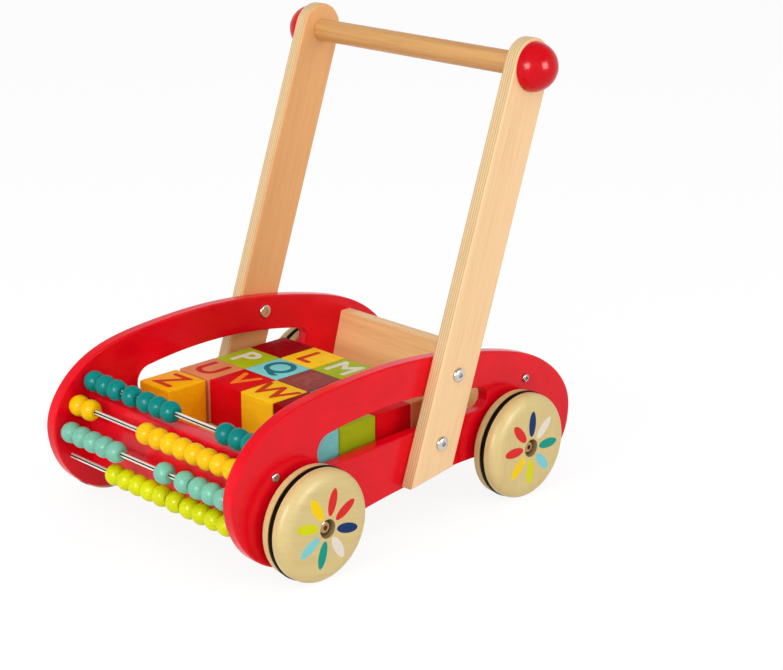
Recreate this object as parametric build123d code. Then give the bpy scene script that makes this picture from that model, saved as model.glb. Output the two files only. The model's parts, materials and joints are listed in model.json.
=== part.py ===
from build123d import *
import os
from math import cos, radians, sin, tan

# Wooden push-along walker with a tray of letter blocks and a bead abacus.
# Millimetres. +Z up, -Y is the front (abacus end), +Y the end the child pushes from.
# The origin is on the ground, half way between the nose and the tail of the side panels.
# Left and right are those of the child behind the handle, so left is +X.

# Running and seating clearances
glue_gap = 0.05         # wood or metal seated in a drilled hole
running_gap = 0.08      # wheel bore on its axle bolt, per side
loose_gap = 0.4         # bead bore on its rod, per side
side_play = 0.4         # along an axle, or between loose pieces

# Letter blocks
block_size = 39.5
block_gap = 0.5
block_edge = 1.2
block_columns = 5
block_rows = 3
block_row_back = 56.0       # front axle to the front of the first full row
corner_block_lead = 2.7     # how far the lone right-hand block stands ahead of its row

# Side panels
panel_thick = 11.0
panel_round = 1.5
nose_overhang = 70.1        # front axle to nose
wheel_base = 232.7
tail_overhang = 82.2        # rear axle to tail
nose_rise = 28.5            # heights above the axle line
shoulder_back = 26.7
shoulder_rise = 73.7
brow_back = 29.9
brow_rise = 95.8
crown_back = 107.4
crown_rise = 98.5
haunch_ahead = 10.3
haunch_rise = 81.5
loin_back = 47.7
loin_rise = 59.0
tail_rise = 9.5
chin_back = 20.5
chin_drop = 19.2            # depths below the axle line
keel_ahead = 11.6
keel_drop = 35.7
belly_front_back = 66.4     # front axle to the front end of the belly arch
belly_front_drop = 13.5
belly_mid_drop = 7.0
belly_rear_ahead = 39.9     # rear axle to the rear end of the belly arch
belly_rear_drop = 5.8
heel_back = 13.7
rump_ahead = 8.0            # tail to the round of the rear lobe
rump_drop = 19.5

# Curved window in each panel, a slot with one end larger than the other
window_front_back = 30.9    # front axle to the centre of the front round
window_front_rise = 47.5
window_front_radius = 14.0
window_front_lean = 9.0
window_rear_ahead = 33.8    # rear axle to the centre of the rear round
window_rear_rise = 45.0
window_rear_radius = 9.5
window_rear_lean = 13.0
window_top_rise = 66.4
window_bottom_rise = 36.3
window_round = 1.2

# Tray
tray_slack = 6.25           # outer block columns to the panels
floor_rise = 13.5           # tray floor above the axle line
floor_thick = 9.0
floor_tongue = 4.0          # how far the floor runs into each panel
tongue_thick = 5.0          # of the floor's edge, in its groove
board_round = 1.5
front_board_thick = 12.5
front_board_height = 38.0   # above the tray floor
front_board_ahead = 20.6    # front axle to the board's rear face
rear_board_thick = 12.0
rear_board_height = 46.0
rear_board_lean = 15.0
rear_board_back = 7.0       # rear axle to the board's front face, at the floor
screw_inset = 10.0          # screws below the top and above the bottom of a board
screw_shank = 4.0
screw_length = 40.0
screw_head = 7.6
screw_head_rise = 1.8
screw_head_round = 1.4
screw_key = 2.5

# Handle
post_width = 43.0
post_thick = 12.5
post_round = 2.0
post_angle = 19.2           # lean back from upright
post_bolt_back = 140.3      # front axle to the lower post bolt
post_bolt_rise = 25.7
post_bolt_spacing = 57.2
bar_reach = 310.1           # lower post bolt to the handle bar, along the post
post_foot = 29.6            # post below its lower bolt
post_head_rise = 1.4        # centre of the post's round top above the bar
foot_slope = 7.6
bar_diameter = 19.3
bar_socket = 10.0           # how far the bar runs into each end cap
cap_radius = 20.2
bolt_shank = 6.0
bolt_head = 12.0
bolt_head_rise = 3.2
bolt_head_round = 2.4
bolt_key = 4.0
sleeve_diameter = 9.0
sleeve_length = 9.0
sleeve_head_rise = 1.8
sleeve_head_round = 1.2

# Wheels
wheel_radius = 45.2
wheel_width = 24.5
wheel_face_radius = 33.0
wheel_face_drop = 8.4       # how far the rim lies behind the wheel's flat face
wheel_back_round = 2.0
tyre_section = 5.0
tyre_proud = 0.8
tyre_inset = 9.6            # wheel's back to the middle of the tyre
tyre_gap = 0.05
hub_radius = 7.6
hub_depth = 7.5
axle_shank = 7.0
axle_head = 11.6
axle_head_rise = 4.5
axle_head_round = 2.2
axle_key = 4.0
spacer_thick = 3.5
spacer_radius = 11.0
insert_diameter = 10.0
insert_cover = 0.6          # wood between the insert and the floor's groove

# Bead abacus: rods set round the nose of the panels
rod_diameter = 4.0
rod_socket = 8.0
rod_backs = (37.0, 21.0, 11.6, 16.5)        # behind the nose, top rod first
rod_rises = (64.6, 47.5, 26.5, 2.9)         # above the axle line
bead_diameter = 17.6
bead_length = 14.8
bead_gap = 0.2              # between beads that stand together
bead_room = 0.3             # least bare rod at either end of a train of beads
# Beads in each train, from the right-hand panel
bead_counts = ((3, 1, 3, 3), (2, 8), (5, 1, 1, 3), (5, 1, 4))
# How the rest of the bare rod is shared out before, between and after the trains
bare_shares = ((0, 5, 4, 52, 0), (0, 58, 3), (0, 47, 10, 2, 3), (51, 2, 2, 6))

quarter_turn = 90

# Places worked out from the sizes above
panel_length = nose_overhang + wheel_base + tail_overhang
nose_y = -panel_length / 2
tail_y = panel_length / 2
front_axle_y = nose_y + nose_overhang
rear_axle_y = tail_y - tail_overhang
axle_z = wheel_radius + tyre_proud
block_pitch = block_size + block_gap
tray_half = (block_columns * block_pitch - block_gap) / 2 + tray_slack
panel_out = tray_half + panel_thick
post_out = panel_out + post_thick
floor_top = axle_z + floor_rise
floor_under = floor_top - floor_thick
front_board_rear = front_axle_y - front_board_ahead
front_board_mid = front_board_rear - front_board_thick / 2
front_board_top = floor_top + front_board_height
rear_board_foot = rear_axle_y + rear_board_back
rear_board_top = floor_top + rear_board_height
rear_lean = tan(radians(rear_board_lean))
rear_board_run = rear_board_thick / cos(radians(rear_board_lean))
floor_end = rear_board_foot + rear_board_run
bolt_y = front_axle_y + post_bolt_back
bolt_z = axle_z + post_bolt_rise
post_along = Vector(0, sin(radians(post_angle)), cos(radians(post_angle)))
post_across = Vector(0, cos(radians(post_angle)), -sin(radians(post_angle)))
lower_bolt = Vector(0, bolt_y, bolt_z)
upper_bolt = lower_bolt + post_along * post_bolt_spacing
bar_centre = lower_bolt + post_along * bar_reach
wheel_back = panel_out + spacer_thick + side_play
wheel_front = wheel_back + wheel_width
tyre_mid = wheel_back + tyre_inset
tyre_ring = wheel_radius + tyre_proud - tyre_section / 2
block_front = front_axle_y + block_row_back
insert_length = panel_thick - floor_tongue - insert_cover
axle_points = {"front": front_axle_y, "rear": rear_axle_y}


def yz(y, z):
    # A point of a side view
    return (y, z)


def side_face(wire_edges, x):
    # A closed side-view outline as a face that looks along +X at the given place
    return Plane.YZ.offset(x) * make_face(wire_edges)


def smooth(points, start, end):
    # A curve through points that leaves and arrives in the given directions
    return Spline(*points, tangents=(start, end), tangent_scalars=(1, 1))


def rod_x(radius, x0, x1, y, z):
    # A round bar along X between two places
    return Pos((x0 + x1) / 2, y, z) * Rot(0, quarter_turn, 0) * Cylinder(radius, x1 - x0)


def turned(profile, y, z):
    # A sketch in X and radius, turned about the X axis and set at an axle
    return Pos(0, y, z) * revolve(Plane.XY * profile, Axis.X)


def to_side(solid, side):
    # Left-hand pieces as drawn, right-hand ones as their mirror image
    return solid if side == "left" else mirror(solid, about=Plane.YZ)


def write(name, shape):
    solids = shape if isinstance(shape, list) else shape.solids()
    export_step(solids[0] if len(solids) == 1 else Compound(solids), f"parts/{name}.step")


def panel_outline():
    nose = yz(nose_y, axle_z + nose_rise)
    shoulder = yz(nose_y + shoulder_back, axle_z + shoulder_rise)
    brow = yz(front_axle_y + brow_back, axle_z + brow_rise)
    crown = yz(front_axle_y + crown_back, axle_z + crown_rise)
    haunch = yz(rear_axle_y - haunch_ahead, axle_z + haunch_rise)
    loin = yz(rear_axle_y + loin_back, axle_z + loin_rise)
    tail = yz(tail_y, axle_z + tail_rise)
    rump = yz(tail_y - rump_ahead, axle_z - rump_drop)
    heel = yz(rear_axle_y + heel_back, axle_z - keel_drop)
    belly_rear = yz(rear_axle_y - belly_rear_ahead, axle_z - belly_rear_drop)
    belly_front = yz(front_axle_y + belly_front_back, axle_z - belly_front_drop)
    belly_mid = yz((belly_front[0] + belly_rear[0]) / 2, axle_z - belly_mid_drop)
    keel = yz(front_axle_y - keel_ahead, axle_z - keel_drop)
    chin = yz(nose_y + chin_back, axle_z - chin_drop)
    over = smooth((nose, shoulder, brow, crown, haunch, loin, tail), (0, 1), (0, -1))
    tail_lobe = smooth((tail, rump, heel), (0, -1), (-1, 0))
    belly = ThreePointArc(belly_rear, belly_mid, belly_front)
    rear_rise = smooth((heel, belly_rear), (-1, 0), belly % 0)
    front_rise = smooth((belly_front, keel), belly % 1, (-1, 0))
    nose_lobe = smooth((keel, chin, nose), (-1, 0), (0, 1))
    return [over, tail_lobe, rear_rise, belly, front_rise, nose_lobe]


def window_outline():
    front = Vector(front_axle_y + window_front_back, axle_z + window_front_rise)
    rear = Vector(rear_axle_y - window_rear_ahead, axle_z + window_rear_rise)
    middle = (front.X + rear.X) / 2
    up = Vector(0, 1)
    ahead = Vector(-1, 0)
    front_top = front + up.rotate(Axis.Z, window_front_lean) * window_front_radius
    front_low = front - up * window_front_radius
    rear_top = rear + up.rotate(Axis.Z, -window_rear_lean) * window_rear_radius
    rear_low = rear - up * window_rear_radius
    top = ThreePointArc(front_top, yz(middle, axle_z + window_top_rise), rear_top)
    low = ThreePointArc(rear_low, yz(middle, axle_z + window_bottom_rise), front_low)
    rear_end = ThreePointArc(rear_top, rear - ahead * window_rear_radius, rear_low)
    front_end = ThreePointArc(front_low, front + ahead * window_front_radius, front_top)
    return [top, rear_end, low, front_end]


def board_screw_places():
    # Side-view places of the screws that hold the front and rear boards
    rear_mid = rear_board_foot + rear_board_run / 2
    rear_low = floor_top + screw_inset
    rear_high = rear_board_top - screw_inset
    return [(front_board_mid, front_board_top - screw_inset),
            (front_board_mid, floor_under + screw_inset),
            (rear_mid + (rear_high - floor_top) * rear_lean, rear_high),
            (rear_mid + (rear_low - floor_top) * rear_lean, rear_low)]


def rod_places():
    return [(nose_y + back, axle_z + rise) for back, rise in zip(rod_backs, rod_rises)]


def side_panel():
    blank = extrude(side_face(panel_outline(), tray_half), panel_thick)
    slot = extrude(side_face(window_outline(), tray_half), panel_thick)
    rims = blank.faces().filter_by(Axis.X)
    blank = fillet(rims.edges(), panel_round)
    panel = blank - slot
    lips = [wire.edges() for face in panel.faces().filter_by(Axis.X) for wire in face.inner_wires()]
    panel = fillet([edge for lip in lips for edge in lip], window_round)
    return panel - panel_cuts()


def panel_cuts():
    groove_mid = (front_board_rear + floor_end) / 2
    cuts = [Pos(tray_half, groove_mid, floor_top - tongue_thick / 2)
            * Box(2 * (floor_tongue + glue_gap), floor_end - front_board_rear, tongue_thick)]
    for y in axle_points.values():
        cuts.append(rod_x(insert_diameter / 2 + glue_gap, panel_out - insert_length, panel_out, y, axle_z))
    for place in (lower_bolt, upper_bolt):
        cuts.append(rod_x(bolt_shank / 2 + glue_gap, tray_half, panel_out, place.Y, place.Z))
        cuts.append(rod_x(sleeve_diameter / 2 + glue_gap, tray_half, tray_half + sleeve_length,
                          place.Y, place.Z))
    for y, z in rod_places():
        cuts.append(rod_x(rod_diameter / 2 + glue_gap, tray_half, tray_half + rod_socket, y, z))
    for y, z in board_screw_places():
        cuts.append(rod_x(screw_shank / 2 + glue_gap, tray_half, panel_out, y, z))
    return cuts


def tray_floor():
    # A board with a thinner tongue along both sides, held in the panels' grooves
    length = floor_end - front_board_rear
    middle = front_board_rear + length / 2
    board = Box(2 * (tray_half - side_play), length, floor_thick)
    tongue = Box(2 * (tray_half + floor_tongue), length, tongue_thick)
    return (Pos(0, middle, floor_top - floor_thick / 2) * board
            + Pos(0, middle, floor_top - tongue_thick / 2) * tongue)


def screw_holes():
    # Pilot holes in the ends of a board, both sides
    reach = panel_out - screw_length
    holes = []
    for y, z in board_screw_places():
        for sign in (-1, 1):
            ends = sorted((sign * reach, sign * panel_out))
            holes.append(rod_x(screw_shank / 2 + glue_gap, ends[0], ends[1], y, z))
    return holes


def front_board():
    height = front_board_top - floor_under
    board = Box(2 * tray_half, front_board_thick, height)
    board = Pos(0, front_board_mid, floor_under + height / 2) * board
    top_edges = board.faces().sort_by(Axis.Z)[-1].edges().filter_by(Axis.X)
    return fillet(top_edges, board_round) - screw_holes()


def rear_board():
    rise = rear_board_height
    outline = Polyline(yz(rear_board_foot, floor_top),
                       yz(rear_board_foot + rise * rear_lean, rear_board_top),
                       yz(rear_board_foot + rise * rear_lean + rear_board_run, rear_board_top),
                       yz(rear_board_foot + rear_board_run, floor_top), close=True)
    board = extrude(side_face([outline], -tray_half), 2 * tray_half)
    top_edges = board.faces().sort_by(Axis.Z)[-1].edges().filter_by(Axis.X)
    return fillet(top_edges, board_round) - screw_holes()


def handle_post():
    half = post_across * (post_width / 2)
    foot = lower_bolt - post_along * post_foot
    slope = Vector(0, cos(radians(foot_slope)), sin(radians(foot_slope)))
    # The foot is cut along a slope, so its corners slide up and down the post's edges
    slide = -half.cross(slope).X / post_along.cross(slope).X
    rear_foot = foot + half + post_along * slide
    front_foot = foot - half - post_along * slide
    head = bar_centre + post_along * post_head_rise
    rear_top = head + half
    front_top = head - half
    crown = head + post_along * (post_width / 2)
    flat = [yz(p.Y, p.Z) for p in (front_foot, front_top, crown, rear_top, rear_foot)]
    edges = [Line(flat[0], flat[1]), ThreePointArc(flat[1], flat[2], flat[3]),
             Line(flat[3], flat[4]), Line(flat[4], flat[0])]
    post = extrude(side_face(edges, panel_out), post_thick)
    post = fillet(post.faces().filter_by(Axis.X).edges(), post_round)
    cuts = [rod_x(bar_diameter / 2 + glue_gap, panel_out, post_out, bar_centre.Y, bar_centre.Z)]
    for place in (lower_bolt, upper_bolt):
        cuts.append(rod_x(bolt_shank / 2 + glue_gap, panel_out, post_out, place.Y, place.Z))
    return post - cuts


def handle_bar():
    reach = post_out + bar_socket
    return rod_x(bar_diameter / 2, -reach, reach, bar_centre.Y, bar_centre.Z)


def bar_cap():
    ball = Pos(post_out, bar_centre.Y, bar_centre.Z) * Sphere(cap_radius)
    half_ball = split(ball, Plane.YZ.offset(post_out), Keep.TOP)
    socket = rod_x(bar_diameter / 2 + glue_gap, post_out, post_out + bar_socket + glue_gap,
                   bar_centre.Y, bar_centre.Z)
    return half_ball - socket


def socket_head(diameter, rise, edge, key, x, y, z):
    # A bolt head on a face at x that looks along +X, with a rounded edge and a hexagon socket
    head = rod_x(diameter / 2, x, x + rise, y, z)
    head = fillet(head.faces().sort_by(Axis.X)[-1].edges(), edge)
    hexagon = RegularPolygon(key / 2, 6, major_radius=False)
    return head - Pos(x + rise, y, z) * Rot(0, quarter_turn, 0) * extrude(hexagon, rise / 2, both=True)


def post_bolt(place):
    # From the outside of the post into its sleeve
    head = socket_head(bolt_head, bolt_head_rise, bolt_head_round, bolt_key, post_out, place.Y, place.Z)
    return head + rod_x(bolt_shank / 2, tray_half + sleeve_head_rise, post_out, place.Y, place.Z)


def post_sleeve(place):
    # Threaded sleeve whose head shows on the inside of the panel
    head = socket_head(bolt_head, sleeve_head_rise, sleeve_head_round, bolt_key, -tray_half, place.Y, place.Z)
    end = tray_half + sleeve_length
    body = rod_x(sleeve_diameter / 2, tray_half, end, place.Y, place.Z)
    thread = rod_x(bolt_shank / 2 + glue_gap, tray_half + sleeve_head_rise, end, place.Y, place.Z)
    return mirror(head, about=Plane.YZ) + body - thread


def board_screw(y, z):
    shank = rod_x(screw_shank / 2, panel_out - screw_length, panel_out, y, z)
    return shank + socket_head(screw_head, screw_head_rise, screw_head_round, screw_key, panel_out, y, z)


def wheel(y):
    rim_end = wheel_front - wheel_face_drop
    bore = axle_shank / 2 + running_gap
    edges = [Polyline((wheel_back, bore), (wheel_back, wheel_radius), (rim_end, wheel_radius)),
             EllipticalCenterArc((rim_end, wheel_face_radius), wheel_face_drop,
                                 wheel_radius - wheel_face_radius, start_angle=0, arc_size=quarter_turn),
             Polyline((wheel_front, wheel_face_radius), (wheel_front, hub_radius),
                      (wheel_front - hub_depth, hub_radius), (wheel_front - hub_depth, bore),
                      (wheel_back, bore))]
    section = make_face(edges)
    groove = Pos(tyre_mid, tyre_ring) * Circle(tyre_section / 2 + tyre_gap)
    mouth_width = tyre_section + 2 * tyre_gap
    mouth = Pos(tyre_mid, tyre_ring + tyre_section) * Rectangle(mouth_width, 2 * tyre_section)
    section = section - groove - mouth
    back_corner = section.vertices().sort_by(Axis.X)[:2].sort_by(Axis.Y)[-1]
    return turned(fillet(back_corner, wheel_back_round), y, axle_z)


def tyre(y):
    return turned(Pos(tyre_mid, tyre_ring) * Circle(tyre_section / 2), y, axle_z)


def axle_bolt(y):
    seat = wheel_front - hub_depth + side_play
    tip = panel_out - insert_length + glue_gap
    head = socket_head(axle_head, axle_head_rise, axle_head_round, axle_key, seat, y, axle_z)
    return head + rod_x(axle_shank / 2, tip, seat, y, axle_z)


def axle_spacer(y):
    ring = rod_x(spacer_radius, panel_out, panel_out + spacer_thick, y, axle_z)
    return ring - rod_x(axle_shank / 2 + glue_gap, panel_out, panel_out + spacer_thick, y, axle_z)


def axle_insert(y):
    base = panel_out - insert_length
    sleeve = rod_x(insert_diameter / 2, base, panel_out, y, axle_z)
    return sleeve - rod_x(axle_shank / 2 + glue_gap, base, panel_out, y, axle_z)


def bead(x, y, z):
    # A ball with both ends turned flat, bored for its rod
    half = bead_length / 2
    flat = ((bead_diameter / 2) ** 2 - half ** 2) ** 0.5
    bore = rod_diameter / 2 + loose_gap
    side = ThreePointArc((-half, flat), (0, bead_diameter / 2), (half, flat))
    profile = make_face([side, Polyline((half, flat), (half, bore), (-half, bore), (-half, flat))])
    return Pos(x, 0, 0) * turned(profile, y, z)


def letter_block(x, y):
    cube = Pos(x, y, floor_top + side_play + block_size / 2) * Box(block_size, block_size, block_size)
    return chamfer(cube.edges(), block_edge)


def write_bead_trains():
    pitch = bead_length + bead_gap
    for row, (counts, shares, (y, z)) in enumerate(zip(bead_counts, bare_shares, rod_places()), 1):
        lengths = [count * pitch - bead_gap for count in counts]
        bare = 2 * tray_half - sum(lengths) - (len(counts) + 1) * bead_room
        start = -tray_half
        for number, count in enumerate(counts):
            start += bead_room + bare * shares[number] / sum(shares)
            beads = [bead(start + bead_length / 2 + i * pitch, y, z) for i in range(count)]
            write(f"bead_train_{row}_{number + 1}", [b.solids()[0] for b in beads])
            start += lengths[number]


def write_blocks():
    # Full rows stand on a grid, and two more blocks stand ahead of the first row
    first_x = -(block_columns - 1) / 2 * block_pitch
    for row in range(block_rows):
        for column in range(block_columns):
            place = (first_x + column * block_pitch, block_front + row * block_pitch + block_size / 2)
            write(f"block_{row + 1}_{column + 1}", letter_block(*place))
    ahead = block_front - block_gap - block_size / 2
    write("block_0_1", letter_block(first_x, ahead - corner_block_lead))
    write(f"block_0_{block_columns}", letter_block(-first_x, ahead))


def both_sides(solids):
    return [to_side(s, side).solids()[0] for side in ("left", "right") for s in solids]


def main():
    os.makedirs("parts", exist_ok=True)
    for side in ("left", "right"):
        write(f"side_panel_{side}", to_side(side_panel(), side))
        write(f"handle_post_{side}", to_side(handle_post(), side))
        write(f"bar_cap_{side}", to_side(bar_cap(), side))
        for end, y in axle_points.items():
            write(f"wheel_{end}_{side}", to_side(wheel(y), side))
            write(f"tyre_{end}_{side}", to_side(tyre(y), side))
    write("handle_bar", handle_bar())
    write("tray_floor", tray_floor())
    write("front_board", front_board())
    write("rear_board", rear_board())
    bolts = [lower_bolt, upper_bolt]
    write("post_bolts", both_sides([post_bolt(p) for p in bolts]))
    write("post_bolt_sleeves", both_sides([post_sleeve(p) for p in bolts]))
    write("board_screws", both_sides([board_screw(y, z) for y, z in board_screw_places()]))
    axles = axle_points.values()
    write("axle_bolts", both_sides([axle_bolt(y) for y in axles]))
    write("axle_spacers", both_sides([axle_spacer(y) for y in axles]))
    write("axle_inserts", both_sides([axle_insert(y) for y in axles]))
    for number, (y, z) in enumerate(rod_places(), 1):
        reach = tray_half + rod_socket
        write(f"abacus_rod_{number}", rod_x(rod_diameter / 2, -reach, reach, y, z))
    write_bead_trains()
    write_blocks()


main()
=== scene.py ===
import bpy
import json
import math
from mathutils import Matrix, Vector

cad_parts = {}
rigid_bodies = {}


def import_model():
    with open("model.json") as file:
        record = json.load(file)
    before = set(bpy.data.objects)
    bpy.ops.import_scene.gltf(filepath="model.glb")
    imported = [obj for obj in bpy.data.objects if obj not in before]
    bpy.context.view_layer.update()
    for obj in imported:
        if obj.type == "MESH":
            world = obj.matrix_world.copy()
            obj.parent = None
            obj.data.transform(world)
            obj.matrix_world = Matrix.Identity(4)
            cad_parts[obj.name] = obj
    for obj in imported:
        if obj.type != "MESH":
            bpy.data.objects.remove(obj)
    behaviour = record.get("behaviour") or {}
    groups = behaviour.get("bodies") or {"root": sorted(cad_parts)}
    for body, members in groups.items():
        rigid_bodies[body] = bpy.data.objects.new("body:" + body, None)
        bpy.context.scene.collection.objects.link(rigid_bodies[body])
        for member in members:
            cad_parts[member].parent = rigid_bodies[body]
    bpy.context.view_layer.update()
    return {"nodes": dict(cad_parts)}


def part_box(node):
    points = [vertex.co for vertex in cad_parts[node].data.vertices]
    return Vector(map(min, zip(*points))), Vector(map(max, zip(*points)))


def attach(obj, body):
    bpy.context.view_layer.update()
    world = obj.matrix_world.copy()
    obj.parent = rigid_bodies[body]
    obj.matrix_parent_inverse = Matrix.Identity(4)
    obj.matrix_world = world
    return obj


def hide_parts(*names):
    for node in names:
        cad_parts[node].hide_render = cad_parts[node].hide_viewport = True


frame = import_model()
nodes = frame["nodes"]
mm = 0.001
sides = {"left": 1, "right": -1}    # and the way that side looks along X
ends = ("front", "rear")
smoothAngle = math.radians(50)    # flatter edges than this are shaded smooth
print("frame loaded,", len(nodes), "nodes")


# Shader sums

mixSockets = {"share": 0, "first": 6, "second": 7, "result": 2}    # a Mix node's sockets for colours
grainNoise = {"detail": 5.0, "roughness": 0.62}


class Wire:
    # one output of a shader node; sums on it add Math nodes
    def __init__(self, tree, socket):
        self.tree = tree
        self.socket = socket

    def add(self, kind, settings, values, output=0):
        node = self.tree.nodes.new("ShaderNode" + kind)
        for name, setting in settings.items():
            if name == "stops":
                fillRamp(node.color_ramp, setting)
            else:
                setattr(node, name, setting)
        for name, value in values.items():
            if isinstance(value, Wire):
                self.tree.links.new(value.socket, node.inputs[name])
            else:
                node.inputs[name].default_value = value
        return Wire(self.tree, node.outputs[output])

    def calc(self, operation, *terms):
        return self.add("Math", {"operation": operation}, dict(enumerate(terms)))

    def __add__(self, other):
        return self.calc("ADD", self, other)

    def __radd__(self, other):
        return self.calc("ADD", other, self)

    def __sub__(self, other):
        return self.calc("SUBTRACT", self, other)

    def __rsub__(self, other):
        return self.calc("SUBTRACT", other, self)

    def __mul__(self, other):
        return self.calc("MULTIPLY", self, other)

    def __rmul__(self, other):
        return self.calc("MULTIPLY", other, self)

    def __truediv__(self, other):
        return self.calc("DIVIDE", self, other)

    def __abs__(self):
        return self.calc("ABSOLUTE", self)

    def ease(self, low, high):
        # 0 below low, 1 above high, smooth between
        limits = {"Value": self, "From Min": low, "From Max": high}
        return self.add("MapRange", {"interpolation_type": "SMOOTHSTEP"}, limits)

    def blend(self, first, second):
        # this value as the share of the second colour
        values = {mixSockets["share"]: self, mixSockets["first"]: first, mixSockets["second"]: second}
        return self.add("Mix", {"data_type": "RGBA"}, values, mixSockets["result"])

    def axes(self):
        return [self.add("SeparateXYZ", {}, {0: self}, i) for i in range(3)]

    def drawn(self, stretch, turnX=0.0, detail=grainNoise["detail"], shift=(0, 0, 0)):
        # noise drawn out along the wood, with the spot turned about X first
        turned = self.add("VectorRotate", {"rotation_type": "X_AXIS"}, {"Vector": self, "Angle": turnX})
        scaled = turned.add("Mapping", {}, {"Vector": turned, "Scale": stretch, "Location": shift})
        looks = {"Vector": scaled, "Scale": 1.0, "Detail": detail, "Roughness": grainNoise["roughness"]}
        return scaled.add("TexNoise", {}, looks)

    def speck(self, scale, detail=2.0):
        return self.add("TexNoise", {}, {"Vector": self, "Scale": scale, "Detail": detail})


def fillRamp(ramp, stops):
    ramp.interpolation = "CONSTANT"
    while len(ramp.elements) < len(stops):
        ramp.elements.new(1.0)
    for element, (place, colour) in zip(ramp.elements, stops):
        element.position = place
        element.color = colour


def paint(red, green, blue):
    # a colour as a screen shows it, 0 to 255, made linear
    def linear(level):
        share = level / 255
        return share / 12.92 if share <= 0.04045 else ((share + 0.055) / 1.055) ** 2.4
    return (linear(red), linear(green), linear(blue), 1.0)


def toned(colour, share):
    return tuple(level * share for level in colour[:3]) + (1.0,)


def newFinish(name, looks):
    material = bpy.data.materials.new(name)
    material.use_nodes = True
    shader = material.node_tree.nodes["Principled BSDF"]
    for socket, value in looks.items():
        shader.inputs[socket].default_value = value
    spot = material.node_tree.nodes.new("ShaderNodeTexCoord").outputs["Object"]
    return material, shader, Wire(material.node_tree, spot)


def feed(wire, shader, socket):
    wire.tree.links.new(wire.socket, shader.inputs[socket])


def addBump(height, shader, bump):
    looks = {"Height": height, "Distance": bump["depth"], "Strength": bump["strength"]}
    feed(height.add("Bump", {}, looks), shader, "Normal")


def mixed(first, second, firstShare):
    return first * firstShare + second * (1 - firstShare)


def dress(names, material):
    for name in names:
        slots = nodes[name].data.materials
        slots.clear()
        slots.append(material)


# Finishes

lacquer = {"fibreShare": 0.4, "cloud": 35.0, "deep": 0.84, "deepTo": 0.3, "fullFrom": 0.75,
           "roughSpread": 0.1, "bump": {"depth": 0.03 * mm, "strength": 0.5}}
panelRed = paint(236, 4, 28)
panelCoat = {"stretch": (60, 25, 350), "rough": 0.2,
             "sheen": {"Specular IOR Level": 0.14, "Coat Weight": 0.1, "Coat Roughness": 0.05}}


def lacquered(name, colour, coat):
    # sprayed paint over wood: the grain shows faintly in the surface
    material, shader, spot = newFinish(name, coat["sheen"])
    fibres = spot.drawn(coat["stretch"])
    cloud = spot.speck(lacquer["cloud"])
    depth = mixed(fibres, cloud, lacquer["fibreShare"]).ease(lacquer["deepTo"], lacquer["fullFrom"])
    feed(depth.blend(toned(colour, lacquer["deep"]), colour), shader, "Base Color")
    feed(coat["rough"] + (cloud - 0.5) * lacquer["roughSpread"], shader, "Roughness")
    addBump(fibres, shader, lacquer["bump"])
    return material


woodBump = {"depth": 0.05 * mm, "strength": 0.5}
bandDetail = 3.0    # the broad bands in the wood are plainer than its fibres
ply = {"layers": 11, "lean": 19.2,
       "sheen": {"Specular IOR Level": 0.3, "Coat Weight": 0.12, "Coat Roughness": 0.2},
       "face": paint(242, 202, 152), "shadedInner": paint(236, 176, 114), "streak": paint(200, 146, 92),
       "pale": paint(232, 206, 160), "dark": paint(206, 166, 112), "glue": paint(168, 124, 82),
       "fibres": (300, 260, 14), "bands": (60, 34, 3), "fibreShare": 0.6,
       "streakFrom": 0.42, "streakTo": 0.72, "streakShare": 0.3,
       "specks": 900.0, "speckDetail": 3.0, "speckShare": 0.8, "crossShare": 0.75,
       "glueFrom": 0.4, "glueTo": 0.5, "glueShare": 0.8, "veneer": 0.95, "veneerFade": 0.1, "sideFade": 0.4,
       "rough": 0.36, "roughSpread": 0.16}


def birchPly(name):
    # veneer on both faces, the inner face with painted shade, crossed layers on the edges
    low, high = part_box("handle_post_left")
    thick = high.x - low.x
    layers = ply["layers"]
    lean = math.radians(ply["lean"])
    material, shader, spot = newFinish(name, ply["sheen"])
    across = abs(spot.axes()[0])
    depth = (across - low.x) / (thick / layers)
    layer = depth.calc("FLOOR", depth)
    crossed = layer.calc("MODULO", layer, 2.0)
    glueLine = abs(depth - layer - 0.5).ease(ply["glueFrom"], ply["glueTo"])
    fibres = spot.drawn(ply["fibres"], lean)
    bands = spot.drawn(ply["bands"], lean, bandDetail)
    endSpecks = spot.speck(ply["specks"], ply["speckDetail"])
    outward = across.ease(low.x + ply["sideFade"] * thick, high.x - ply["sideFade"] * thick)
    # painted shade: the face towards the tray gets the darker inner colour
    veneer = outward.blend(ply["shadedInner"], ply["face"])
    crossTone = crossed * (ply["crossShare"] + ply["speckShare"] * (endSpecks - 0.5))
    layered = (glueLine * ply["glueShare"]).blend(crossTone.blend(ply["pale"], ply["dark"]), ply["glue"])
    veneerFrom = layers / 2 - ply["veneer"]
    onEdge = 1 - abs(depth - layers / 2).ease(veneerFrom, veneerFrom + ply["veneerFade"])
    tone = onEdge.blend(veneer, layered)
    streak = mixed(fibres, bands, ply["fibreShare"]).ease(ply["streakFrom"], ply["streakTo"])
    feed((streak * ply["streakShare"]).blend(tone, ply["streak"]), shader, "Base Color")
    feed(ply["rough"] + fibres * ply["roughSpread"], shader, "Roughness")
    addBump(fibres, shader, woodBump)
    return material


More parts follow.
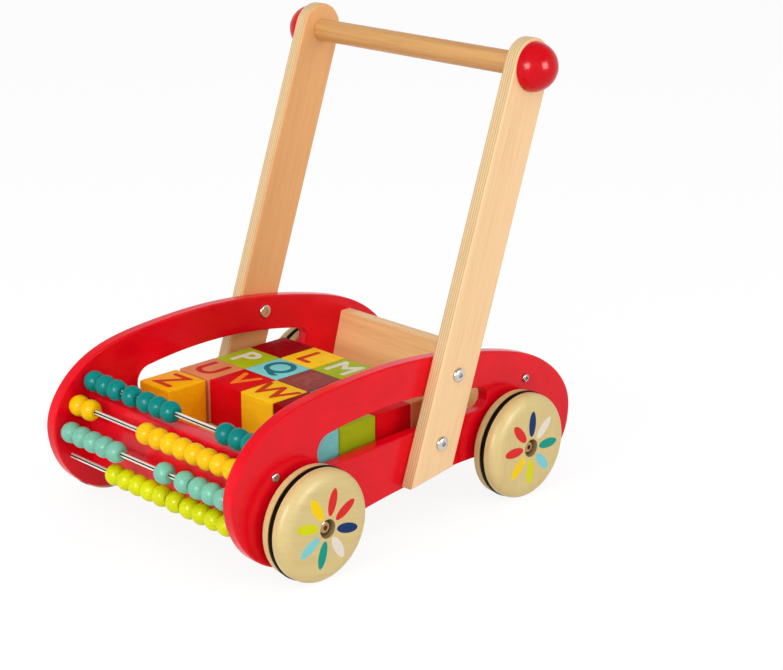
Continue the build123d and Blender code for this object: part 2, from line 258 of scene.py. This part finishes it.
varnish = {"sheen": {"Specular IOR Level": 0.3, "Coat Weight": 0.12, "Coat Roughness": 0.18},
           "bandWidth": 6, "bandShift": (3, 1, 2), "fibreShare": 0.55,
           "streakFrom": 0.36, "streakTo": 0.68, "streakShare": 0.75,
           "rayFineness": 2.2, "rayShift": (7, 5, 3), "rayDetail": 2.0,
           "rayFrom": 0.62, "rayTo": 0.72, "rayTone": 0.7,
           "rough": 0.36, "roughSpread": 0.14}
barWood = {"stretch": (7, 330, 330), "rays": 0.5,
           "pale": paint(216, 164, 102), "dark": paint(186, 128, 68)}
boardWood = {"stretch": (9, 220, 220), "rays": 0.3,
             "pale": paint(242, 198, 140), "dark": paint(218, 164, 104)}
spacerWood = {"stretch": (300, 40, 300), "rays": 0.3,
              "pale": paint(226, 200, 150), "dark": paint(200, 166, 110)}


def varnished(name, wood):
    # clear varnish over straight grain with short rays
    material, shader, spot = newFinish(name, varnish["sheen"])
    stretch = wood["stretch"]
    fibres = spot.drawn(stretch)
    bandStretch = tuple(s / varnish["bandWidth"] for s in stretch)
    bands = spot.drawn(bandStretch, 0.0, bandDetail, varnish["bandShift"])
    rayStretch = tuple(s * varnish["rayFineness"] for s in stretch)
    rays = spot.drawn(rayStretch, 0.0, varnish["rayDetail"], varnish["rayShift"])
    rays = rays.ease(varnish["rayFrom"], varnish["rayTo"])
    streak = mixed(fibres, bands, varnish["fibreShare"]).ease(varnish["streakFrom"], varnish["streakTo"])
    grainTone = (streak * varnish["streakShare"]).blend(wood["pale"], wood["dark"])
    rayTone = toned(wood["dark"], varnish["rayTone"])
    feed((rays * wood["rays"]).blend(grainTone, rayTone), shader, "Base Color")
    feed(varnish["rough"] + fibres * varnish["roughSpread"], shader, "Roughness")
    addBump(fibres, shader, woodBump)
    return material


wheelFace = {"sheen": {"Specular IOR Level": 0.1, "Coat Roughness": 0.36}, "coat": 0.24,
             "pale": paint(213, 191, 131), "dark": paint(197, 169, 107),
             "fibres": (120, 30, 420), "bands": (30, 6, 60), "fibreShare": 0.5,
             "streakFrom": 0.38, "streakTo": 0.7, "streakShare": 0.45,
             "rough": 0.36, "roughSpread": 0.14, "inkSmoother": 0.08, "grainRise": 0.4}
petals = {"near": 9.9 * mm, "far": 32.2 * mm, "width": 8.7 * mm, "blur": 0.25 * mm, "fullness": 0.5,
          "turns": {"front": 15.0, "rear": 273.0}, "faceDepth": 1 * mm, "faceFade": 0.5 * mm}
petalColours = [paint(214, 40, 36), paint(214, 40, 36), paint(14, 48, 100), paint(226, 216, 204),
                paint(10, 146, 128), paint(124, 200, 206), paint(208, 210, 2), paint(242, 202, 2)]
# painted shade in the hub recess: its radius, fade, share and dark colour
hubRecess = {"radius": 7.7 * mm, "fade": 0.3 * mm, "shade": 0.6, "tone": paint(96, 66, 40)}


def wheelWood(name, node, turn, way):
    # turned wheel with eight printed petals round the hub
    low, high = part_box(node)
    hub = (low + high) / 2
    count = len(petalColours)
    sectorAngle = 2 * math.pi / count
    material, shader, spot = newFinish(name, wheelFace["sheen"])
    x, y, z = spot.axes()
    back = (y - hub.y) * way
    rise = z - hub.z
    square = back * back + rise * rise
    radius = square.calc("SQRT", square)
    angle = back.calc("ARCTAN2", back, rise) - math.radians(turn)
    turns = angle / sectorAngle + 2.0 * count    # two rounds more, so above zero
    sector = turns.calc("ROUND", turns)
    off = (turns - sector) * sectorAngle
    along = radius * off.calc("COSINE", off) - (petals["near"] + petals["far"]) / 2
    along = along / ((petals["far"] - petals["near"]) / 2)
    aside = abs(radius * off.calc("SINE", off))
    inside = 1 - along * along
    swell = inside.calc("POWER", inside.calc("MAXIMUM", inside, 0.0), petals["fullness"])
    reach = swell * (petals["width"] / 2) - aside
    outer = max(abs(low.x), abs(high.x))
    onFace = (abs(x) - (outer - petals["faceDepth"])).ease(0, petals["faceFade"])
    mask = reach.ease(0, petals["blur"]) * onFace
    place = sector.calc("MODULO", sector, float(count)) / float(count) + 0.5 / count
    stops = [(i / count, colour) for i, colour in enumerate(petalColours)]
    ink = place.add("ValToRGB", {"stops": stops}, {0: place})
    fibres = spot.drawn(wheelFace["fibres"], math.radians(turn))
    bands = spot.drawn(wheelFace["bands"], math.radians(turn), bandDetail)
    streak = mixed(fibres, bands, wheelFace["fibreShare"])
    streak = streak.ease(wheelFace["streakFrom"], wheelFace["streakTo"])
    wood = (streak * wheelFace["streakShare"]).blend(wheelFace["pale"], wheelFace["dark"])
    # painted shade: the wood inside the hub radius is darkened towards a dark brown
    recessShadeMask = 1 - radius.ease(hubRecess["radius"], hubRecess["radius"] + hubRecess["fade"])
    wood = (recessShadeMask * hubRecess["shade"]).blend(wood, hubRecess["tone"])
    feed(mask.blend(wood, ink), shader, "Base Color")
    rough = wheelFace["rough"] + fibres * wheelFace["roughSpread"]
    feed(rough - mask * wheelFace["inkSmoother"], shader, "Roughness")
    feed(wheelFace["coat"] - mask * wheelFace["coat"], shader, "Coat Weight")
    addBump(mixed(fibres, mask, wheelFace["grainRise"]), shader, woodBump)
    return material


polish = {"scratch": (900, 40, 40), "scratchDetail": 3.0, "roughSpread": 0.08,
          "spots": 140.0, "spotsFrom": 0.35, "spotsTo": 0.7, "spotShare": 0.25, "spotTone": 0.6,
          "bump": {"depth": 0.01 * mm, "strength": 0.4}}
plating = {"zinc": {"colour": paint(210, 205, 198), "rough": 0.2},
           "screw": {"colour": paint(168, 154, 146), "rough": 0.26},
           "bronze": {"colour": paint(178, 140, 104), "rough": 0.2}}


def plated(name, metal):
    material, shader, spot = newFinish(name, {"Metallic": 1.0})
    lines = spot.drawn(polish["scratch"], 0.0, polish["scratchDetail"])
    dull = spot.speck(polish["spots"]).ease(polish["spotsFrom"], polish["spotsTo"])
    dullTone = toned(metal["colour"], polish["spotTone"])
    feed((dull * polish["spotShare"]).blend(metal["colour"], dullTone), shader, "Base Color")
    feed(metal["rough"] + (lines - 0.5) * polish["roughSpread"], shader, "Roughness")
    addBump(lines, shader, polish["bump"])
    return material


# painted reflection bands for the rods: their colours and angles, the matte share of the bright painted
# bands, and noise for wear and band wobble
rodBands = {"count": 3, "first": 95.0,
            "bright": paint(255, 250, 240), "dark": paint(40, 36, 32), "paintedBandMatte": 0.6,
            "litFrom": -0.9, "litTo": -0.3, "wear": (20, 700, 700), "wearDetail": 3.0, "bandWobbleShare": 0.5,
            "rough": 0.1, "roughSpread": 0.08}


def rodSteel(name, node):
    # polished round steel, with painted reflection: bands of light and shade along it, as a bright room
    # would mirror in it
    low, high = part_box(node)
    middle = (low + high) / 2
    material, shader, spot = newFinish(name, {"Metallic": 1.0})
    y, z = spot.axes()[1:]
    turn = y.calc("ARCTAN2", z - middle.z, y - middle.y) - math.radians(rodBands["first"])
    wave = turn.calc("COSINE", turn * rodBands["count"])
    wearAndBandWobble = spot.drawn(rodBands["wear"], 0.0, rodBands["wearDetail"])
    lit = (wave + (wearAndBandWobble - 0.5) * rodBands["bandWobbleShare"]).ease(rodBands["litFrom"], rodBands["litTo"])
    # painted reflection: light and dark bands by the angle round the rod, the dark core facing the view
    feed(lit.blend(rodBands["dark"], rodBands["bright"]), shader, "Base Color")
    # the bright painted bands are less metallic, so the lamps light them white
    feed(1 - lit * rodBands["paintedBandMatte"], shader, "Metallic")
    feed(rodBands["rough"] + wearAndBandWobble * rodBands["roughSpread"], shader, "Roughness")
    return material


rubber = {"sheen": {"Specular IOR Level": 0.08}, "dark": paint(10, 6, 3), "dusty": paint(26, 19, 12),
          "dust": 260.0, "dustDetail": 4.0, "dustFrom": 0.4, "dustTo": 0.75, "dustShare": 0.5,
          "rough": 0.34, "roughSpread": 0.2, "bump": {"depth": 0.04 * mm, "strength": 0.5}}


def ringRubber(name):
    material, shader, spot = newFinish(name, rubber["sheen"])
    dust = spot.speck(rubber["dust"], rubber["dustDetail"])
    dusty = dust.ease(rubber["dustFrom"], rubber["dustTo"]) * rubber["dustShare"]
    feed(dusty.blend(rubber["dark"], rubber["dusty"]), shader, "Base Color")
    feed(rubber["rough"] + dust * rubber["roughSpread"], shader, "Roughness")
    addBump(dust, shader, rubber["bump"])
    return material


def dressFrame():
    dress([f"side_panel_{side}" for side in sides], lacquered("redLacquer", panelRed, panelCoat))
    dress([f"handle_post_{side}" for side in sides], birchPly("birchPly"))
    dress(["handle_bar"], varnished("beechBar", barWood))
    dress(["tray_floor", "rear_board"], varnished("birchBoard", boardWood))
    dress(["axle_spacers"], varnished("spacerWood", spacerWood))
    for end in ends:
        for side, way in sides.items():
            node = f"wheel_{end}_{side}"
            dress([node], wheelWood(f"wheelWood_{end}_{side}", node, petals["turns"][end], way))
    dress([f"tyre_{end}_{side}" for end in ends for side in sides], ringRubber("ringRubber"))
    dress(["post_bolts", "post_bolt_sleeves", "axle_inserts"], plated("zincSteel", plating["zinc"]))
    dress(["board_screws"], plated("screwSteel", plating["screw"]))
    dress(["axle_bolts"], plated("bronzedSteel", plating["bronze"]))
    for node in [n for n in nodes if n.startswith("abacus_rod_")]:
        dress([node], rodSteel(node.replace("abacus_rod", "rodSteel"), node))


beadCoat = {"stretch": (250, 90, 90), "rough": 0.28,
            "sheen": {"Specular IOR Level": 0.11, "Coat Weight": 0.03, "Coat Roughness": 0.2}}
beadColours = {1: ("beadTeal", paint(0, 134, 128)), 2: ("beadYellow", paint(255, 197, 0)),
               3: ("beadMint", paint(126, 194, 170)), 4: ("beadLime", paint(222, 226, 2))}


def dressBeads():
    for row, (name, colour) in beadColours.items():
        finish = lacquered(name, colour, beadCoat)
        dress([n for n in nodes if n.startswith(f"bead_train_{row}_")], finish)


# Bar caps

capCoat = {"stretch": (150, 150, 150), "rough": 0.2,
           "sheen": {"Specular IOR Level": 0.14, "Coat Weight": 0.04, "Coat Roughness": 0.2}}
barCap = {"rings": 32, "segments": 64, "rim": 0.4 * mm, "rimSegments": 3, "colour": paint(212, 0, 20)}


def makeBarCaps():
    # half balls outside the posts, with a softened rim
    gloss = lacquered("redGloss", barCap["colour"], capCoat)
    for side, way in sides.items():
        node = f"bar_cap_{side}"
        low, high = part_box(node)
        centre = (low + high) / 2
        centre.x = low.x if way > 0 else high.x
        bpy.ops.object.select_all(action="DESELECT")
        bpy.ops.mesh.primitive_uv_sphere_add(segments=barCap["segments"], ring_count=barCap["rings"],
                                             radius=(high.y - low.y) / 2)
        cap = bpy.context.object
        cap.name = f"barCap_{side}"
        bpy.ops.object.mode_set(mode="EDIT")
        bpy.ops.mesh.select_all(action="SELECT")
        bpy.ops.mesh.bisect(plane_co=(0, 0, 0), plane_no=(way, 0, 0), use_fill=True, clear_inner=True)
        bpy.ops.mesh.bevel(offset=barCap["rim"], segments=barCap["rimSegments"], affect="EDGES")
        bpy.ops.mesh.select_all(action="SELECT")
        bpy.ops.mesh.normals_make_consistent(inside=False)
        bpy.ops.object.mode_set(mode="OBJECT")
        bpy.ops.object.shade_smooth_by_angle(angle=smoothAngle)
        cap.data.transform(Matrix.Translation(centre))
        cap.data.materials.append(gloss)
        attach(cap, "frame")
        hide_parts(node)


# Front board

boardCoat = {**panelCoat, "stretch": (25, 60, 350)}
# the board's red is lighter than the panels' red: painted light for its shaded front face
frontBoard = {"deeper": 14.0 * mm, "thicker": 3.4 * mm, "edge": 1.5 * mm, "segments": 4,
              "colour": paint(250, 22, 40)}


def markEdgesAlongX(mesh):
    corners = mesh.vertices
    for edge in mesh.edges:
        span = corners[edge.vertices[0]].co - corners[edge.vertices[1]].co
        edge.select = abs(span.x) > abs(span.y) + abs(span.z)


def makeFrontBoard():
    # the board reaches below the tray floor and takes its front edge in a groove
    low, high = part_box("front_board")
    low = low - Vector((0, 0, frontBoard["deeper"]))
    high = high + Vector((0, frontBoard["thicker"], 0))
    span = high - low
    bpy.ops.object.select_all(action="DESELECT")
    bpy.ops.mesh.primitive_cube_add(size=1)
    board = bpy.context.object
    board.name = "frontBoard"
    board.data.transform(Matrix.Translation((low + high) / 2) @ Matrix.Diagonal((*span, 1)))
    bpy.ops.object.mode_set(mode="EDIT")
    bpy.ops.mesh.select_mode(type="EDGE")
    bpy.ops.mesh.select_all(action="DESELECT")
    bpy.ops.object.mode_set(mode="OBJECT")
    markEdgesAlongX(board.data)
    bpy.ops.object.mode_set(mode="EDIT")
    bpy.ops.mesh.bevel(offset=frontBoard["edge"], segments=frontBoard["segments"], affect="EDGES")
    bpy.ops.object.mode_set(mode="OBJECT")
    bpy.ops.object.shade_smooth_by_angle(angle=smoothAngle)
    board.data.materials.append(lacquered("boardLacquerPaintedLight", frontBoard["colour"], boardCoat))
    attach(board, "frame")
    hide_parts("front_board")


# Letter blocks

blockCoat = {"sheen": {"Specular IOR Level": 0.04},
             "fibres": (40, 260, 260), "cloud": 60.0, "fibreShare": 0.6,
             "deep": 0.9, "deepTo": 0.36, "fullFrom": 0.66, "rough": 0.34, "roughSpread": 0.14,
             "bump": {"depth": 0.05 * mm, "strength": 0.6}}
blockSet = {"edge": 1.3 * mm, "segments": 4}
letterSet = {"size": 37.0 * mm, "bolder": 0.8 * mm, "step": 0.6 * mm, "merge": 0.02 * mm,
             "softness": 9, "softShare": 0.5, "rise": 0.12 * mm}
blockPaints = {"amber": paint(255, 182, 14), "sky": paint(128, 214, 212), "salmon": paint(226, 140, 92),
               "red": paint(222, 8, 24), "yellow": paint(255, 200, 28), "maroon": paint(146, 2, 10),
               "green": paint(170, 186, 22), "brown": paint(150, 68, 62), "teal": paint(0, 128, 128)}
letterPaints = {"rust": paint(206, 56, 24), "cream": paint(228, 220, 196), "deepTeal": paint(18, 116, 132),
                "crimson": paint(204, 30, 30), "orange": paint(250, 132, 30), "wine": paint(140, 14, 22),
                "clay": paint(162, 76, 68)}
blockFaces = {(0, 1): ("Z", "amber", "rust"), (0, 5): ("4", "sky", "cream"),
              (1, 1): ("U", "salmon", "crimson"), (1, 2): ("V", "red", "orange"),
              (1, 3): ("W", "yellow", "rust"), (1, 4): ("X", "maroon", "wine"),
              (1, 5): ("Y", "green", "cream"), (2, 1): ("P", "green", "cream"),
              (2, 2): ("Q", "sky", "deepTeal"), (2, 3): ("R", "brown", "clay"),
              (2, 4): ("S", "teal", "cream"), (2, 5): ("T", "red", "orange"),
              (3, 1): ("K", "maroon", "wine"), (3, 2): ("L", "yellow", "rust"),
              (3, 3): ("M", "green", "cream"), (3, 4): ("N", "sky", "deepTeal"),
              (3, 5): ("O", "salmon", "rust")}    # row from the front and column from the right


def blockFinish(name, colour):
    # thin satin paint, a little deeper along the grain
    material, shader, spot = newFinish(name, blockCoat["sheen"])
    fibres = spot.drawn(blockCoat["fibres"])
    cloud = spot.speck(blockCoat["cloud"])
    depth = mixed(fibres, cloud, blockCoat["fibreShare"]).ease(blockCoat["deepTo"], blockCoat["fullFrom"])
    feed(depth.blend(toned(colour, blockCoat["deep"]), colour), shader, "Base Color")
    feed(blockCoat["rough"] + fibres * blockCoat["roughSpread"], shader, "Roughness")
    addBump(fibres, shader, blockCoat["bump"])
    return material


def roundedBlock(size):
    bpy.ops.object.select_all(action="DESELECT")
    bpy.ops.mesh.primitive_cube_add(size=size)
    block = bpy.context.object
    bpy.ops.object.mode_set(mode="EDIT")
    bpy.ops.mesh.select_all(action="SELECT")
    bpy.ops.mesh.bevel(offset=blockSet["edge"], segments=blockSet["segments"], affect="EDGES")
    bpy.ops.object.mode_set(mode="OBJECT")
    bpy.ops.object.shade_smooth_by_angle(angle=smoothAngle)
    return block


def markLongEdges(mesh, limit):
    corners = mesh.vertices
    for edge in mesh.edges:
        tips = [corners[i].co for i in edge.vertices]
        edge.select = (tips[0] - tips[1]).length > limit
    return any(edge.select for edge in mesh.edges)


def letterMesh(letter, middle, top):
    # outline of the letter, its long edges divided and its corners softened, then filled and raised
    bpy.ops.object.select_all(action="DESELECT")
    bpy.ops.object.text_add()
    text = bpy.context.object
    text.data.body = letter
    text.data.size = letterSet["size"]
    text.data.fill_mode = "NONE"
    bpy.ops.object.convert(target="MESH")
    mark = bpy.context.object
    bpy.ops.object.mode_set(mode="EDIT")
    bpy.ops.mesh.select_mode(type="EDGE")
    bpy.ops.mesh.select_all(action="SELECT")
    bpy.ops.mesh.remove_doubles(threshold=letterSet["merge"])
    bpy.ops.object.mode_set(mode="OBJECT")
    while markLongEdges(mark.data, letterSet["step"]):
        bpy.ops.object.mode_set(mode="EDIT")
        bpy.ops.mesh.subdivide(number_cuts=1)
        bpy.ops.object.mode_set(mode="OBJECT")
    bpy.ops.object.mode_set(mode="EDIT")
    bpy.ops.mesh.select_all(action="SELECT")
    bpy.ops.mesh.vertices_smooth(factor=letterSet["softShare"], repeat=letterSet["softness"])
    bpy.ops.mesh.fill()
    bpy.ops.mesh.extrude_region_move(TRANSFORM_OT_translate={"value": (0, 0, letterSet["rise"])})
    bpy.ops.mesh.select_all(action="SELECT")
    bpy.ops.mesh.normals_make_consistent(inside=False)
    bpy.ops.transform.shrink_fatten(value=letterSet["bolder"], use_even_offset=True)
    bpy.ops.object.mode_set(mode="OBJECT")
    corners = [Vector(c) for c in mark.bound_box]
    glyph = sum(corners, Vector()) / len(corners)
    flat = letterSet["rise"] / (letterSet["rise"] + 2 * letterSet["bolder"])    # thin again
    place = Vector((middle.x - glyph.x, middle.y - glyph.y, top + letterSet["bolder"] * flat))
    mark.data.transform(Matrix.Translation(place) @ Matrix.Diagonal((1, 1, flat, 1)))
    return mark


def makeBlocks():
    low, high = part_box("block_1_1")
    pattern = roundedBlock(high.x - low.x)
    paints = {name: blockFinish("block_" + name, colour) for name, colour in blockPaints.items()}
    inks = {name: blockFinish("letter_" + name, colour) for name, colour in letterPaints.items()}
    for (row, column), (letter, ground, ink) in blockFaces.items():
        node = f"block_{row}_{column}"
        low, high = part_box(node)
        middle = (low + high) / 2
        block = pattern.copy()
        block.data = pattern.data.copy()
        block.data.transform(Matrix.Translation(middle))
        block.name = f"paintedBlock_{row}_{column}"
        bpy.context.collection.objects.link(block)
        block.data.materials.append(paints[ground])
        mark = letterMesh(letter, middle, high.z)
        mark.name = f"blockLetter_{row}_{column}"
        mark.data.materials.clear()
        mark.data.materials.append(inks[ink])
        for piece in (block, mark):
            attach(piece, f"letter_{row}_{column}")
        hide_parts(node)
    bpy.data.objects.remove(pattern)


# Studio

cameraSet = {"azimuth": 45.23, "elevation": 18.52, "aim": (41.9 * mm, 48.2 * mm, 135.9 * mm),
             "distance": 1611.8 * mm, "lens": 88.5, "sensor": 36.0}
lampAim = Vector((0, 0, 0.12))
lampSet = {"front": {"azimuth": 5.0, "elevation": 20.0, "distance": 1.9, "size": 0.6, "power": 9.0},
           "side": {"azimuth": 107.0, "elevation": 17.0, "distance": 1.9, "size": 0.6, "power": 7.0},
           "broad": {"azimuth": 35.0, "elevation": 45.0, "distance": 3.0, "size": 4.0, "power": 55.0},
           "frontGlint": {"azimuth": 17.0, "elevation": 20.0, "distance": 1.9, "size": 0.75, "power": 42.0},
           "sideGlint": {"azimuth": 100.0, "elevation": 17.0, "distance": 1.9, "size": 0.75, "power": 35.0}}
glintLamps = ("frontGlint", "sideGlint")    # seen in gloss alone, the others light the colours
glintPieces = ("bead_train", "barCap", "wheel", "post_bolt", "board_screws", "axle_bolts")    # rounded
studio = {"floorSize": 20.0, "floorTone": paint(240, 240, 241), "floorRough": 0.8, "glow": 1.05,
          "whiteShare": 0.85, "ambient": 0.5,
          "wall": 1.0, "wallTop": 0.25, "ceilingFrom": 0.75, "ceiling": 0.35}
white = (1, 1, 1, 1)


def fromSide(azimuth, elevation):
    turn = math.radians(azimuth)
    rise = math.radians(elevation)
    return Vector((math.sin(turn) * math.cos(rise), -math.cos(turn) * math.cos(rise), math.sin(rise)))


def standOff(thing, aim, settings):
    # puts a camera or lamp at its distance from the aim, and turns it there
    back = fromSide(settings["azimuth"], settings["elevation"])
    thing.location = aim + back * settings["distance"]
    thing.rotation_euler = (-back).to_track_quat("-Z", "Y").to_euler()
    bpy.context.collection.objects.link(thing)


def addCamera():
    data = bpy.data.cameras.new("photoCamera")
    data.lens = cameraSet["lens"]
    data.sensor_width = cameraSet["sensor"]
    camera = bpy.data.objects.new("photoCamera", data)
    standOff(camera, Vector(cameraSet["aim"]), cameraSet)
    bpy.context.scene.camera = camera


def addLamps():
    rounded = bpy.data.collections.new("roundedPieces")
    for piece in list(bpy.data.objects):
        if piece.type == "MESH" and piece.name.startswith(glintPieces):
            rounded.objects.link(piece)
    for name, lamp in lampSet.items():
        data = bpy.data.lights.new(name + "Softbox", "AREA")
        data.shape = "SQUARE"
        data.size = lamp["size"]
        data.energy = lamp["power"]
        softbox = bpy.data.objects.new(name + "Softbox", data)
        softbox.visible_glossy = name in glintLamps
        softbox.visible_diffuse = name not in glintLamps
        if name in glintLamps:
            softbox.light_linking.receiver_collection = rounded
        standOff(softbox, lampAim, lamp)


def seenDirectly(wire):
    # 1 for rays that show the studio itself: seen, mirrored or through glass
    path = [wire.add("LightPath", {}, {}, name) for name in
            ("Is Camera Ray", "Is Glossy Ray", "Is Transmission Ray")]
    return path[0].calc("MINIMUM", path[0] + path[1] + path[2], 1.0)


def addFloor():
    bpy.ops.object.select_all(action="DESELECT")
    bpy.ops.mesh.primitive_plane_add(size=studio["floorSize"])
    floor = bpy.context.object
    floor.name = "floor"
    looks = {"Roughness": studio["floorRough"], "Base Color": studio["floorTone"]}
    material, shader, spot = newFinish("paleFloor", looks)
    tree = material.node_tree
    glow = spot.add("Emission", {}, {"Color": white, "Strength": studio["glow"]})
    share = seenDirectly(spot) * studio["whiteShare"]
    lit = Wire(tree, shader.outputs[0])
    surface = share.add("MixShader", {}, {0: share, 1: lit, 2: glow})
    tree.links.new(surface.socket, tree.nodes["Material Output"].inputs["Surface"])
    floor.data.materials.append(material)


def addWorld():
    # even light, with a white wall and a greyer ceiling where it is seen or mirrored
    world = bpy.data.worlds.new("studioWorld")
    world.use_nodes = True
    tree = world.node_tree
    backdrop = tree.nodes["Background"]
    backdrop.inputs["Color"].default_value = white
    view = Wire(tree, tree.nodes.new("ShaderNodeTexCoord").outputs["Generated"])
    height = view.axes()[2].ease(studio["wallTop"], studio["ceilingFrom"])
    shown = studio["wall"] - height * (studio["wall"] - studio["ceiling"])
    feed(studio["ambient"] + seenDirectly(view) * (shown - studio["ambient"]), backdrop, "Strength")
    bpy.context.scene.world = world
    bpy.context.scene.view_settings.view_transform = "Standard"


dressFrame()
print("frame dressed")
dressBeads()
print("beads dressed")
makeBarCaps()
makeFrontBoard()
print("caps and front board made")
makeBlocks()
print("blocks made")
addCamera()
addLamps()
addFloor()
addWorld()
print("studio set")
